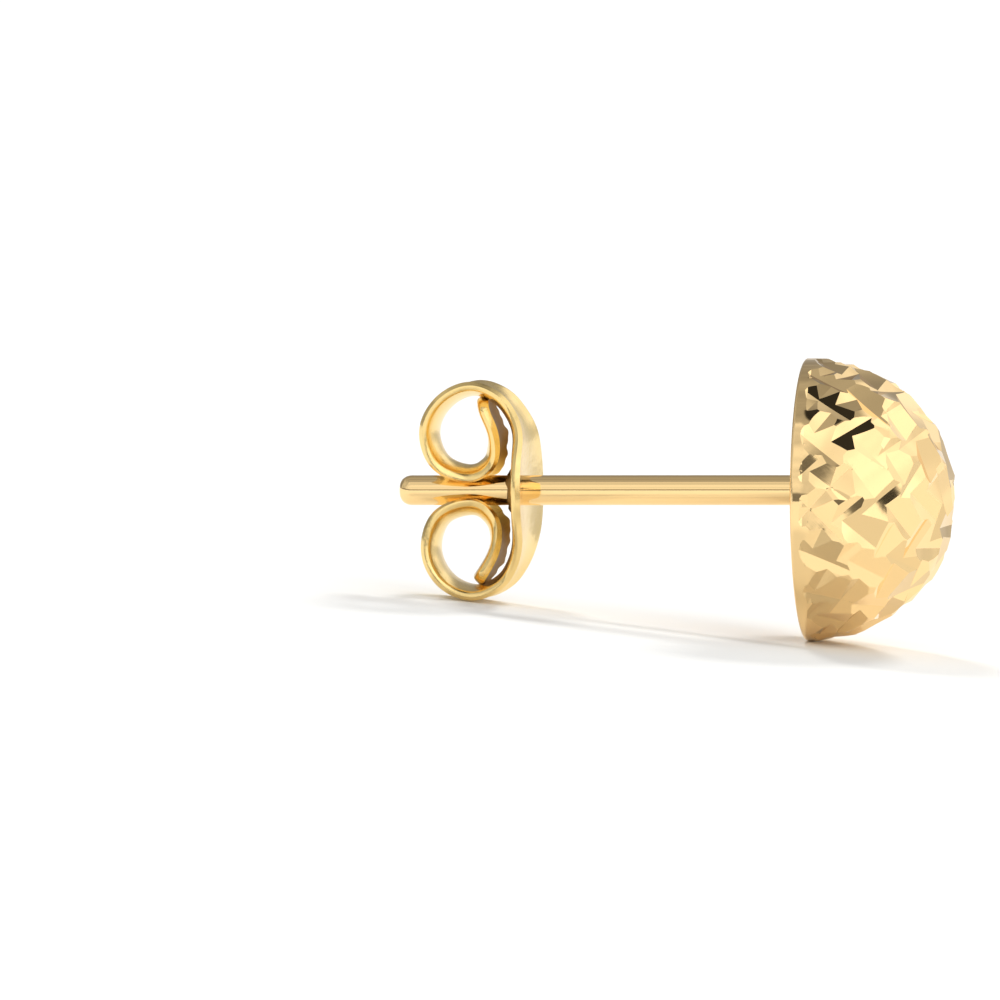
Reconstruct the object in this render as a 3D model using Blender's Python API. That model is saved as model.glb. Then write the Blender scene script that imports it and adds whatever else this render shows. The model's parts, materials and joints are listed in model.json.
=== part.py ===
"""Half ball stud earring in yellow gold, lying as it rests on a table.

A hollow half ball with a diamond-cut outside is soldered to a straight post, and a butterfly clutch
of curled strip slides on the post. Everything is drawn in the earring's own frame first: the post
lies on the X axis, the ball's rim is in the plane x = 0 and its cut side looks towards +X. Then the
whole earring is tipped about Y and lifted, so that the rim and the lower scroll touch the ground.
"""
import math
import random

import bmesh
import bpy
import numpy as np
from mathutils import Matrix, Vector

MM = 0.001

# Half ball, a stamped shell with an open back
BALL_RADIUS = 3.5 * MM
SKIRT_DEPTH = 0.22 * MM
WALL = 0.4 * MM
RIM_ROUNDING = 0.08 * MM
BALL_SEGMENTS = 48
OUTSIDE_RINGS = 14
INSIDE_RINGS = 10
CORNER_STEPS = 3
SMOOTH_BELOW = 30

# Diamond cuts: at each place a V tool takes a leaf-shaped notch off the ball
CUT_SEED = 4
CUT_ROWS = (
    # latitude above the rim and cuts round the ball, lean of the crease, depth in mm, slopes of the two sides
    (9.5, 21, 40, 0.125, 6, 18),
    (7.0, 21, -52, 0.1, 21, 10),
    (17.5, 19, -48, 0.125, 22, 12),
    (26.0, 17, 40, 0.14, 6, 18),
    (34.0, 15, -48, 0.13, 22, 12),
    (42.0, 13, 42, 0.14, 6, 19),
    (50.0, 11, -45, 0.13, 22, 12),
    (58.0, 9, 42, 0.14, 6, 19),
    (66.0, 7, -45, 0.13, 22, 12),
    (74.0, 5, 42, 0.14, 6, 19),
    (86.0, 2, 42, 0.14, 8, 16),
)
ROW_SHIFT = 0.37
LATITUDE_SPREAD = 1.6
SPACING_SPREAD = 0.16
LEAN_SPREAD = 12
DEPTH_SPREAD = 0.16
SIDE_SPREAD = 5
CUT_HALF_LENGTH = 1.4 * MM
CUT_SIDE_REACH = 1.3 * MM
CUT_TOP = 0.9 * MM

# Post, soldered inside the top of the ball
POST_RADIUS = 0.375 * MM
POST_REACH = 10.2 * MM
POST_ABOVE_CENTRE = 0.23 * MM
TIP_FLAT_RADIUS = 0.125 * MM
TIP_ROUNDING = 0.3 * MM
TIP_STEPS = 5
SOLDER_RADIUS = 0.6 * MM
SOLDER_LENGTH = 0.3 * MM
SOLDER_SUNK = 0.13 * MM
POST_SEGMENTS = 32

# Butterfly clutch, one strip with a scroll above and a scroll below the post
STRIP_THICKNESS = 0.23 * MM
DISH = 0.2 * MM
STRIP_COLUMNS = 8
DISHED_FROM_WIDTH = 2.0
STATION_STEP = 0.17
SMOOTHED_OVER = 0.2
SPAN_SAMPLES = 24
TAIL_ROUNDING = 0.4 * MM
TAIL_END_SHARE = 0.25
FIT_GAP = 0.05 * MM
BURR_RADIUS = 0.56 * MM
BURR_LENGTH = 0.14 * MM
PLATE_X = -6.98
PLATE_HALF = (
    # height above or below the post, width of the strip there, both in mm
    (0.0, 4.0),
    (0.45, 3.9),
    (0.8, 3.6),
    (1.08, 3.2),
)
UPPER_CENTRE = (-8.309, 1.517)
UPPER_SCROLL = (
    # angle round the scroll's centre in degrees, radius in mm, width of the strip in mm
    (-8, 1.355, 2.75),
    (8, 1.26, 2.3),
    (25, 1.175, 2.1),
    (50, 1.155, 2.05),
    (90, 1.155, 2.0),
    (135, 1.12, 2.0),
    (180, 1.215, 2.0),
    (225, 1.305, 2.0),
    (268, 1.185, 1.95),
    (302, 1.04, 1.8),
    (328, 0.76, 1.65),
    (354, 0.61, 1.55),
    (384, 0.54, 1.5),
    (410, 0.57, 1.5),
    (423, 0.72, 1.5),
    (430, 0.9, 1.5),
)
LOWER_CENTRE = (-8.247, -1.485)
LOWER_SCROLL = (
    (-8, 1.25, 2.7),
    (10, 1.165, 2.3),
    (30, 1.12, 2.05),
    (50, 1.135, 2.0),
    (90, 1.175, 2.0),
    (135, 1.19, 2.0),
    (180, 1.25, 2.0),
    (225, 1.34, 2.0),
    (270, 1.15, 1.95),
    (304, 0.95, 1.8),
    (326, 0.76, 1.65),
    (345, 0.63, 1.55),
    (375, 0.53, 1.5),
    (412, 0.555, 1.5),
    (432, 0.68, 1.5),
    (444, 0.8, 1.5),
)

# Finishes: linear base colour, metallic, roughness
POLISHED_GOLD = (0.86, 0.62, 0.26)
STAMPED_GOLD = (0.82, 0.57, 0.22)


def clear_scene():
    """Remove what the start-up file holds."""
    for obj in list(bpy.data.objects):
        bpy.data.objects.remove(obj, do_unlink=True)


def gold(name, colour, roughness):
    """A plain metal: colour and roughness on a fully metallic surface."""
    material = bpy.data.materials.new(name)
    material.use_nodes = True
    shader = material.node_tree.nodes["Principled BSDF"]
    shader.inputs["Base Color"].default_value = (*colour, 1.0)
    shader.inputs["Metallic"].default_value = 1.0
    shader.inputs["Roughness"].default_value = roughness
    return material


def place(name, mesh, parent, origin=Vector()):
    """Put a mesh drawn in the earring's frame into the scene, with its origin moved to a point there."""
    mesh.transform(Matrix.Translation(-origin))
    obj = bpy.data.objects.new(name, mesh)
    obj.location = origin
    obj.parent = parent
    bpy.context.scene.collection.objects.link(obj)
    return obj


def hide_tool(obj):
    """A cutter or a body that a Boolean joins shows as wire and isn't rendered."""
    obj.hide_render = True
    obj.display_type = "WIRE"


def add_boolean(obj, name, operation, tool):
    """Add an exact Boolean whose other side is an object."""
    modifier = obj.modifiers.new(name, "BOOLEAN")
    modifier.operation = operation
    modifier.solver = "EXACT"
    modifier.object = tool


def mesh_from(bm, name):
    """Turn a finished bmesh into a mesh with its faces pointing out and its round parts smooth."""
    bmesh.ops.remove_doubles(bm, verts=bm.verts, dist=0.0001 * MM)
    bmesh.ops.recalc_face_normals(bm, faces=bm.faces)
    mesh = bpy.data.meshes.new(name)
    bm.to_mesh(mesh)
    bm.free()
    mesh.shade_smooth()
    mesh.set_sharp_from_angle(angle=math.radians(SMOOTH_BELOW))
    return mesh


def turned(name, profile, segments, closed, height=0.0):
    """Turn a profile of (x, radius) points round the line parallel to X at the given height."""
    bm = bmesh.new()
    verts = [bm.verts.new((x, 0.0, height + radius)) for x, radius in profile]
    edges = [bm.edges.new(pair) for pair in zip(verts, verts[1:])]
    if closed:
        edges.append(bm.edges.new((verts[-1], verts[0])))
    bmesh.ops.spin(
        bm, geom=verts + edges, cent=(0, 0, height), axis=(1, 0, 0), angle=math.tau,
        steps=segments, use_merge=True, use_duplicate=False,
    )
    return mesh_from(bm, name)


def arc(centre, radius, start, end, steps):
    """Points on an arc in the (x, radius) plane; angles run from +X towards the outside."""
    points = []
    for step in range(steps + 1):
        angle = math.radians(start + (end - start) * step / steps)
        points.append((centre[0] + radius * math.cos(angle), centre[1] + radius * math.sin(angle)))
    return points


def ball_blank():
    """The uncut half ball: an outer and an inner hemisphere on a short skirt, with a flat rim."""
    outside = arc((SKIRT_DEPTH, 0.0), BALL_RADIUS, 0, 90, OUTSIDE_RINGS)
    corner = arc((RIM_ROUNDING, BALL_RADIUS - RIM_ROUNDING), RIM_ROUNDING, 90, 180, CORNER_STEPS)
    inner_radius = BALL_RADIUS - WALL
    lip = [(0.0, inner_radius)]
    inside = arc((SKIRT_DEPTH, 0.0), inner_radius, 90, 0, INSIDE_RINGS)
    profile = outside + corner + lip + inside
    return turned("half_ball_blank", profile, BALL_SEGMENTS, False, -POST_ABOVE_CENTRE)


def cut_places():
    """Where each notch is cut: its centre direction, crease direction, two side slopes and depth."""
    chance = random.Random(CUT_SEED)

    def spread(amount):
        return chance.uniform(-amount, amount)

    for row, (latitude, count, lean, depth, left, right) in enumerate(CUT_ROWS):
        for index in range(count):
            turn = math.tau * (index + ROW_SHIFT * row + spread(SPACING_SPREAD)) / count
            rise = math.radians(latitude + spread(LATITUDE_SPREAD))
            round_ball = Vector((0.0, math.cos(turn), math.sin(turn)))
            out = Vector((math.sin(rise), 0, 0)) + math.cos(rise) * round_ball
            to_top = Vector((math.cos(rise), 0, 0)) - math.sin(rise) * round_ball
            along_rim = Vector((0.0, -math.sin(turn), math.cos(turn)))
            twist = math.radians(lean + spread(LEAN_SPREAD))
            crease = math.cos(twist) * to_top + math.sin(twist) * along_rim
            slopes = [math.radians(slope + spread(SIDE_SPREAD)) for slope in (left, right)]
            yield out, crease, *slopes, depth * MM * (1 + spread(DEPTH_SPREAD))


def cutter_mesh():
    """One long four-sided wedge for each notch, its lower edge being the crease that the tool leaves."""
    bm = bmesh.new()
    middle = Vector((SKIRT_DEPTH, 0.0, -POST_ABOVE_CENTRE))
    for out, crease, slope_left, slope_right, depth in cut_places():
        side = out.cross(crease)
        bottom = middle + (BALL_RADIUS - depth) * out
        left = bottom + CUT_SIDE_REACH * (math.cos(slope_left) * side + math.sin(slope_left) * out)
        right = bottom + CUT_SIDE_REACH * (math.sin(slope_right) * out - math.cos(slope_right) * side)
        section = (bottom, left, bottom + CUT_TOP * out, right)
        near = [bm.verts.new(point - CUT_HALF_LENGTH * crease) for point in section]
        far = [bm.verts.new(point + CUT_HALF_LENGTH * crease) for point in section]
        bm.faces.new(near)
        bm.faces.new(reversed(far))
        for corner in range(4):
            after = (corner + 1) % 4
            bm.faces.new((near[after], near[corner], far[corner], far[after]))
    bmesh.ops.recalc_face_normals(bm, faces=bm.faces)
    mesh = bpy.data.meshes.new("diamond_cutter")
    bm.to_mesh(mesh)
    bm.free()
    return mesh


def post_mesh():
    """The post with a rounded tip and the small flare of solder that joins it to the ball's inside."""
    inner_top = SKIRT_DEPTH + BALL_RADIUS - WALL
    front = inner_top + SOLDER_SUNK
    profile = [(front, 0.0), (front, SOLDER_RADIUS), (inner_top - SOLDER_LENGTH, POST_RADIUS)]
    for step in range(TIP_STEPS + 1):
        angle = math.radians(90) * step / TIP_STEPS
        x = -POST_REACH + TIP_ROUNDING * (1 - math.sin(angle))
        radius = TIP_FLAT_RADIUS + (POST_RADIUS - TIP_FLAT_RADIUS) * math.cos(angle)
        profile.append((x, radius))
    profile.append((-POST_REACH, 0.0))
    return turned("post_blank", profile, POST_SEGMENTS, False)


def scroll_line(centre, rows, side):
    """Control points (x, z, width) in mm from the post outwards: half the plate, then one scroll."""
    plate = [(PLATE_X, side * height, width) for height, width in PLATE_HALF]
    angle, radius, width = np.array(rows).T
    turn = np.radians(angle)
    scroll = np.stack([centre[0] + radius * np.cos(turn), centre[1] + side * radius * np.sin(turn), width], axis=-1)
    return np.vstack([plate, scroll])


def strip_line():
    """Stations of the strip in mm from the upper tail to the lower: way along it, and (x, z, width).

    A Catmull-Rom curve through the control points is taken at even steps and evened out a little.
    """
    upper = scroll_line(UPPER_CENTRE, UPPER_SCROLL, 1)
    lower = scroll_line(LOWER_CENTRE, LOWER_SCROLL, -1)
    points = np.vstack([upper[:0:-1], lower])
    ends = np.vstack([2 * points[0] - points[1], points, 2 * points[-1] - points[-2]])
    t = np.linspace(0, 1, SPAN_SAMPLES, endpoint=False)[:, None]
    spans = []
    for before, start, end, after in zip(ends, ends[1:], ends[2:], ends[3:]):
        spans.append(0.5 * (
            2 * start + (end - before) * t
            + (2 * before - 5 * start + 4 * end - after) * t**2
            + (3 * start - before - 3 * end + after) * t**3
        ))
    dense = np.vstack(spans + [points[-1:]])
    steps = np.linalg.norm(np.diff(dense[:, :2], axis=0), axis=1)
    walked = np.concatenate([[0.0], np.cumsum(steps)])
    stations = np.linspace(0, walked[-1], round(walked[-1] / STATION_STEP) + 1)
    line = np.stack([np.interp(stations, walked, dense[:, column]) for column in range(3)], axis=-1)
    for _ in range(round(2 * (SMOOTHED_OVER / STATION_STEP)**2)):
        line[1:-1] += (line[:-2] + line[2:] - 2 * line[1:-1]) / 4
    return stations, line


def outward_of(line):
    """The direction in the XZ plane that points to the strip's outer side at every station."""
    along = np.gradient(line[:, :2], axis=0)
    along /= np.linalg.norm(along, axis=1, keepdims=True)
    return np.stack([-along[:, 1], along[:, 0]], axis=-1)


def strip_mesh():
    """Carry a dished section along the line from the upper tail over the plate to the lower tail.

    The strip is hollow towards its outer side by DISH, and both tails end in a half round.
    """
    walked, line = strip_line()
    outward = outward_of(line)
    from_end = np.minimum(walked, walked[-1] - walked) * MM
    missing = np.clip(1 - from_end / TAIL_ROUNDING, 0, 1)
    half_width = line[:, 2:] / 2 * MM * np.maximum(TAIL_END_SHARE, np.sqrt(1 - missing**2))[:, None]
    across = np.linspace(-1, 1, STRIP_COLUMNS + 1)
    dished = DISH * np.minimum(1, line[:, 2:] / DISHED_FROM_WIDTH) * (1 - across**2)
    section = []
    for shift in (STRIP_THICKNESS / 2 - dished, (-STRIP_THICKNESS / 2 - dished)[:, ::-1]):
        side = across if not section else across[::-1]
        x = line[:, :1] * MM + shift * outward[:, :1]
        z = line[:, 1:2] * MM + shift * outward[:, 1:]
        section.append(np.stack([x, side * half_width, z], axis=-1))
    rows = np.concatenate(section, axis=1)

    bm = bmesh.new()
    rings = [[bm.verts.new(point) for point in row] for row in rows]
    for here, after in zip(rings, rings[1:]):
        for corner in range(len(here)):
            next_corner = (corner + 1) % len(here)
            bm.faces.new((here[corner], here[next_corner], after[next_corner], after[corner]))
    bm.faces.new(rings[0][::-1])
    bm.faces.new(rings[-1])
    return mesh_from(bm, "butterfly_strip")


def disc(name, x_from, x_to, radius):
    """A short plain cylinder on the post's axis."""
    profile = [(x_to, 0.0), (x_to, radius), (x_from, radius), (x_from, 0.0)]
    return turned(name, profile, POST_SEGMENTS, False)


def build_stud(pose):
    """The half ball, cut and soldered to its post: one solid."""
    stud = place("half_ball_post", ball_blank(), pose)
    stud.data.materials.append(gold("polished_yellow_gold", POLISHED_GOLD, 0.1))
    cutter = place("diamond_cutter", cutter_mesh(), pose)
    post = place("post_blank", post_mesh(), pose)
    hide_tool(cutter)
    hide_tool(post)
    add_boolean(stud, "diamond_cuts", "DIFFERENCE", cutter)
    stud.modifiers["diamond_cuts"].use_self = True
    add_boolean(stud, "soldered_post", "UNION", post)
    return stud


def build_clutch(pose):
    """The butterfly clutch, with its pierced hole and the burr that the piercing pushed out behind."""
    origin = Vector((PLATE_X * MM, 0.0, 0.0))
    clutch = place("butterfly_clutch", strip_mesh(), pose, origin)
    clutch.data.materials.append(gold("stamped_yellow_gold", STAMPED_GOLD, 0.2))
    plate_middle = PLATE_X * MM - DISH
    plate_back = plate_middle - STRIP_THICKNESS / 2
    burr = place("burr_blank", disc("burr_blank", plate_back - BURR_LENGTH, plate_middle, BURR_RADIUS), pose)
    hole = disc("hole_cutter", plate_back - 2 * BURR_LENGTH, PLATE_X * MM + DISH, POST_RADIUS + FIT_GAP)
    hole_cutter = place("hole_cutter", hole, pose)
    hide_tool(burr)
    hide_tool(hole_cutter)
    add_boolean(clutch, "pierced_burr", "UNION", burr)
    add_boolean(clutch, "post_hole", "DIFFERENCE", hole_cutter)
    return clutch


def resting_tilt():
    """The angle by which the post slopes down to its tip when the earring lies on a table.

    The ground is the lowest line that touches the round corner of the ball's rim from below and
    passes through a point of the clutch's outer side.
    """
    rim = np.array((RIM_ROUNDING, RIM_ROUNDING - BALL_RADIUS - POST_ABOVE_CENTRE))
    line = strip_line()[1]
    outer = line[:, :2] * MM + STRIP_THICKNESS / 2 * outward_of(line)
    apart = rim - outer
    sloping = np.arctan2(-apart[:, 1], apart[:, 0])
    return float(np.min(sloping + np.arcsin(RIM_ROUNDING / np.linalg.norm(apart, axis=1))))


def world_points(objects):
    """Every vertex of the finished objects, as they stand in the world."""
    bpy.context.view_layer.update()
    depsgraph = bpy.context.evaluated_depsgraph_get()
    points = []
    for obj in objects:
        finished = obj.evaluated_get(depsgraph)
        mesh = finished.to_mesh()
        points += [finished.matrix_world @ vertex.co for vertex in mesh.vertices]
        finished.to_mesh_clear()
    return points


def main():
    """Build the earring, tip it to its resting tilt and stand the middle of its box on the origin."""
    clear_scene()
    pose = bpy.data.objects.new("resting_pose", None)
    bpy.context.scene.collection.objects.link(pose)
    pose.rotation_euler = (0.0, -resting_tilt(), 0.0)
    parts = [build_stud(pose), build_clutch(pose)]
    points = world_points(parts)
    low = Vector([min(point[axis] for point in points) for axis in range(3)])
    high = Vector([max(point[axis] for point in points) for axis in range(3)])
    pose.location = (-(low.x + high.x) / 2, -(low.y + high.y) / 2, -low.z)


main()
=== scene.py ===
# %% [markdown]
# Half ball stud earring
#
# A stud for a pierced ear: a hollow half ball whose outside is cut into bright facets, a straight
# post soldered inside it, and a butterfly clutch that slides on the post. It lies on a pale table as
# it comes to rest by itself, on the ball's rim and the clutch's lower scroll.
#
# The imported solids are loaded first. They fix every size and place, and the pieces made below only
# take their surfaces further.

# %% Load the frame
import json
import math
import random

import bpy
import numpy as np
from mathutils import Matrix, Vector


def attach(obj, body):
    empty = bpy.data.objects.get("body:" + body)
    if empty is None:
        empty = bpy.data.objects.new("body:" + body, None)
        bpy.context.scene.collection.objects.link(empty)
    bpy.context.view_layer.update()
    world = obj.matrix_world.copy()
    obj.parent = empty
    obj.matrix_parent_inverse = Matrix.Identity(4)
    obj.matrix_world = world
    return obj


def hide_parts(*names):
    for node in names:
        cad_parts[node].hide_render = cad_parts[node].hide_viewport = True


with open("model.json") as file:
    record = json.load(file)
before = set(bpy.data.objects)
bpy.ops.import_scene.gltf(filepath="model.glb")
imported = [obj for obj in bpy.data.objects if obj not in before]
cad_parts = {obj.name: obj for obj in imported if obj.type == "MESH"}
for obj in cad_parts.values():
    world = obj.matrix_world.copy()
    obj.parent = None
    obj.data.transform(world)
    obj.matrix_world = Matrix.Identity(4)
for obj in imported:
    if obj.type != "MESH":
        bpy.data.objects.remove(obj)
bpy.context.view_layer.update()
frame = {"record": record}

MM = 0.001

# %% [markdown]
# The earring's own frame
#
# The earring lies tipped, so its parts are easier to describe along its post: here X runs along the
# post towards the cut side of the ball, with x = 0 in the plane of the ball's rim, and all lengths
# are in millimetres. The record gives the post's direction, as the clutch's slide, and the middle of
# the post's tip. One matrix made from the two takes every piece from this frame to where it lies.

# %% The earring's own frame
POST_REACH = 10.2
slide = frame["record"]["behaviour"]["joints"][0]["axis"]
tip = next(mount for mount in frame["record"]["mounts"] if mount["name"] == "post_tip")["pos_m"]

post_line = -Vector(slide).normalized()
across_line = Vector((0.0, 1.0, 0.0))
up_line = post_line.cross(across_line).normalized()
rim_middle = Vector(tip) + POST_REACH * MM * post_line
tipped = Matrix((post_line, across_line, up_line)).transposed()
to_world = Matrix.Translation(rim_middle) @ tipped.to_4x4()
print("post slopes by", round(math.degrees(math.asin(post_line.z)), 2), "degrees")


def settled(points):
    """Points drawn in mm in the earring's frame, as metres where the earring lies."""
    matrix = np.array(to_world)
    return points @ matrix[:3, :3].T * MM + matrix[:3, 3]


# %% [markdown]
# Faces on a grid
#
# Every surface below is worked out as whole arrays: a block of points, and blocks of faces that name
# points by their number. Most faces lie between two neighbouring rows of points. The post and the
# tools are turned parts, so their rows are rings round the X axis, closed by a fan at each end.

# %% Faces on a grid
def grid_faces(rows, columns, start=0):
    """Quads between neighbouring rows of points, where each row's last point joins its first."""
    number = start + np.arange(rows * columns).reshape(rows, columns)
    after = np.roll(number, -1, axis=1)
    return np.stack([number[:-1], after[:-1], after[1:], number[1:]], axis=-1).reshape(-1, 4)


def revolve(profile, segments):
    """A closed shell from a profile of points (x, radius) turned round the X axis.

    At the turn a, a point lies at (x, -radius sin a, radius cos a).
    """
    profile = np.array(profile)
    turn = np.arange(segments) * math.tau / segments
    x = np.repeat(profile[:, :1], segments, axis=1)
    y = -profile[:, 1:] * np.sin(turn)
    z = profile[:, 1:] * np.cos(turn)
    rings = np.stack([x, y, z], axis=-1).reshape(-1, 3)
    ends = np.array([(profile[0, 0], 0.0, 0.0), (profile[-1, 0], 0.0, 0.0)])
    near = np.arange(segments)
    far = len(rings) - segments + near
    near_fan = np.stack([np.full(segments, len(rings)), np.roll(near, -1), near], axis=-1)
    far_fan = np.stack([np.full(segments, len(rings) + 1), far, np.roll(far, -1)], axis=-1)
    return np.vstack([rings, ends]), [grid_faces(len(profile), segments), near_fan, far_fan]


print("three rings of eight points have", len(grid_faces(3, 8)), "faces between them")

# %% [markdown]
# From arrays to an object
#
# A piece can have several closed shells, such as a ball and the post that sinks into its wall. Faces
# that meet at more than a few degrees keep a hard edge, and all others are shaded smooth. Drawn,
# rolled and cut metal also has fine marks that run one way. A UV map keeps that way for every face:
# its first number is the distance along the marks and its second the distance across them.

# %% From arrays to an object
def solid(name, shells, sharp_angle):
    """One object from shells of (points, blocks of faces, material number of each block)."""
    faces, materials, start = [], [], 0
    for points, blocks, numbers in shells:
        for block, number in zip(blocks, numbers):
            faces += (block + start).tolist()
            materials += [number] * len(block)
        start += len(points)
    mesh = bpy.data.meshes.new(name)
    mesh.from_pydata(settled(np.vstack([shell[0] for shell in shells])).tolist(), [], faces)
    mesh.polygons.foreach_set("material_index", materials)
    mesh.shade_smooth()
    mesh.set_sharp_from_angle(angle=math.radians(sharp_angle))
    obj = bpy.data.objects.new(name, mesh)
    bpy.context.scene.collection.objects.link(obj)
    mesh.calc_loop_triangles()
    print(name, "has", len(mesh.loop_triangles), "triangles")
    return obj


def lay_marks(obj, marks):
    """Write (along, across) in mm for the first corners of the mesh as its UV map; the rest stay at 0."""
    layer = obj.data.uv_layers.new(name="marks")
    values = np.zeros((len(layer.data), 2))
    values[:len(marks)] = marks
    layer.data.foreach_set("uv", values.ravel())


# %% [markdown]
# The ball's cuts
#
# A V-shaped diamond on a spinning wheel takes a leaf-shaped notch off the ball, again and again,
# until the leaves overlap and only their broken corners are left. One notch is two sides that meet
# in a crease below the ball's surface, and the metal above both of them is gone. The cuts go round
# the ball in rows, and their creases lean to one side in one row and to the other in the next. A
# hand leads the ball, so every place, lean, depth and slope is a little off.

# %% The ball's cuts
BALL_RADIUS = 3.5
SKIRT_DEPTH = 0.22
WALL = 0.4
RIM_ROUNDING = 0.08
POST_ABOVE_CENTRE = 0.23
CUT_ROWS = (
    # latitude above the rim, cuts round the ball, lean of the crease, depth, slopes of the two sides
    (9.5, 21, 40, 0.125, 6, 18),
    (7.0, 21, -52, 0.1, 21, 10),
    (17.5, 19, -48, 0.125, 22, 12),
    (26.0, 17, 40, 0.14, 6, 18),
    (34.0, 15, -48, 0.13, 22, 12),
    (42.0, 13, 42, 0.14, 6, 19),
    (50.0, 11, -45, 0.13, 22, 12),
    (58.0, 9, 42, 0.14, 6, 19),
    (66.0, 7, -45, 0.13, 22, 12),
    (74.0, 5, 42, 0.14, 6, 19),
    (86.0, 2, 42, 0.14, 8, 16),
)
CUT_SEED = 4
ROW_SHIFT = 0.37
LATITUDE_SPREAD = 1.6
SPACING_SPREAD = 0.16
LEAN_SPREAD = 12
DEPTH_SPREAD = 0.16
SIDE_SPREAD = 5


def cut_places():
    """Every notch: the directions out of the ball and along its crease, its two slopes and its depth."""
    chance = random.Random(CUT_SEED)

    def spread(amount):
        return chance.uniform(-amount, amount)

    for row, (latitude, count, lean, depth, left, right) in enumerate(CUT_ROWS):
        for index in range(count):
            turn = math.tau * (index + ROW_SHIFT * row + spread(SPACING_SPREAD)) / count
            rise = math.radians(latitude + spread(LATITUDE_SPREAD))
            round_ball = Vector((0.0, math.cos(turn), math.sin(turn)))
            out = Vector((math.sin(rise), 0, 0)) + math.cos(rise) * round_ball
            to_top = Vector((math.cos(rise), 0, 0)) - math.sin(rise) * round_ball
            along_rim = Vector((0.0, -math.sin(turn), math.cos(turn)))
            twist = math.radians(lean + spread(LEAN_SPREAD))
            crease = math.cos(twist) * to_top + math.sin(twist) * along_rim
            slopes = [math.radians(slope + spread(SIDE_SPREAD)) for slope in (left, right)]
            yield out, crease, *slopes, depth * (1 + spread(DEPTH_SPREAD))


def cut_sides():
    """Arrays for both sides of every notch: normals, offsets from the ball's middle, crease directions."""
    normals, offsets, creases = [], [], []
    for out, crease, slope_left, slope_right, depth in cut_places():
        side = out.cross(crease)
        for slope, hand in ((slope_left, 1), (slope_right, -1)):
            normal = math.cos(slope) * out - hand * math.sin(slope) * side
            normals.append(normal[:])
            offsets.append((BALL_RADIUS - depth) * normal.dot(out))
            creases.append(crease[:])
    return np.array(normals), np.array(offsets), np.array(creases)


normals, offsets, creases = cut_sides()
ball_middle = np.array((SKIRT_DEPTH, 0.0, -POST_ABOVE_CENTRE))
print("notches:", len(normals) // 2)

# %% [markdown]
# Rays over the ball
#
# A grid of latitude and longitude would crowd its points at the ball's top. A square grid pressed
# onto a disc spreads them evenly: each square round the middle becomes a ring. The disc's middle is
# the ball's top, its edge is the rim, and a ray goes out through every point of it.

# %% Rays over the ball
GRID = 230


def disc_grid(count):
    """A square grid pressed onto a disc: radius 0 to 1 and angle for each of its points.

    The radius is the larger of |u| and |v|, and the angle goes through a quarter turn as the smaller
    one goes from one end of the square's side to the other.
    """
    line = np.linspace(-1.0, 1.0, count)
    u, v = np.meshgrid(line, line, indexing="ij")
    wide = np.abs(u) >= np.abs(v)
    radius = np.where(wide, np.abs(u), np.abs(v))
    share = np.where(wide, v, u) / np.where(radius == 0, 1.0, np.where(wide, u, v))
    quarter = np.pi / 4 * share
    angle = np.where(wide, quarter + np.pi * (u < 0), np.pi / 2 - quarter + np.pi * (v < 0))
    return radius, angle


def rays(count):
    """Where each ray starts and which way it goes, from the ball's middle.

    The way walked from the top is a quarter round and then the skirt. On the round, the ray leaves
    the middle and its rise is pi / 2 minus way over radius. On the skirt it leaves the ball's axis
    level, further from the top.
    """
    radius, angle = disc_grid(count)
    quarter = BALL_RADIUS * np.pi / 2
    walked = radius * (quarter + SKIRT_DEPTH - RIM_ROUNDING)
    rise = np.pi / 2 - np.minimum(walked, quarter) / BALL_RADIUS
    way = np.stack([np.sin(rise), np.cos(rise) * np.cos(angle), np.cos(rise) * np.sin(angle)], axis=-1)
    start = np.zeros_like(way)
    start[..., 0] = np.minimum(0.0, quarter - walked)
    return start, way


ray_start, ray_way = rays(GRID)
print("rays:", GRID * GRID, "with a spacing of about",
      round(2 * (BALL_RADIUS * np.pi / 2 + SKIRT_DEPTH) / GRID, 3), "mm")

# %% [markdown]
# The lowest of all cuts
#
# Each ray stops at the lowest of the round ball and of the notches, because every cut takes away
# what stands above it. A notch itself ends at the higher of its two sides. The wheel leaves each
# side a trace hollow along the crease, which is why the light runs softly across a facet, and near
# the rim it is lifted out of the metal, so that a plain narrow band is left there.

# %% The lowest of all cuts
WHEEL_RADIUS = 11.0
RIM_BAND = 0.32
RIM_LIFT = 0.4
LEAST_FACING = 0.3
UNCUT = -1


def reach_side(side, start, way):
    """How far each ray goes to one side of a notch, and which way the side faces there.

    A side is a plane, raised by along² / (2 wheel radius) at a distance along the crease, and by
    lift below² in the band at the rim, where below goes from 0 at the band's edge towards 1. A ray
    that meets the plane at too flat an angle never reaches it.
    """
    towards = way @ normals[side]
    meets = np.maximum(towards, LEAST_FACING)
    flat = (offsets[side] - start @ normals[side]) / meets
    place = start + flat[..., None] * way
    along = place @ creases[side]
    below = np.clip((RIM_BAND - SKIRT_DEPTH - place[..., 0]) / RIM_BAND, 0, None)
    raised = along ** 2 / (2 * WHEEL_RADIUS) + RIM_LIFT * below ** 2
    reach = np.where(towards > LEAST_FACING, flat + raised / meets, np.inf)
    facing = normals[side] - along[..., None] / WHEEL_RADIUS * creases[side]
    facing[..., 0] += 2 * RIM_LIFT / RIM_BAND * below
    return reach, facing


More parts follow.
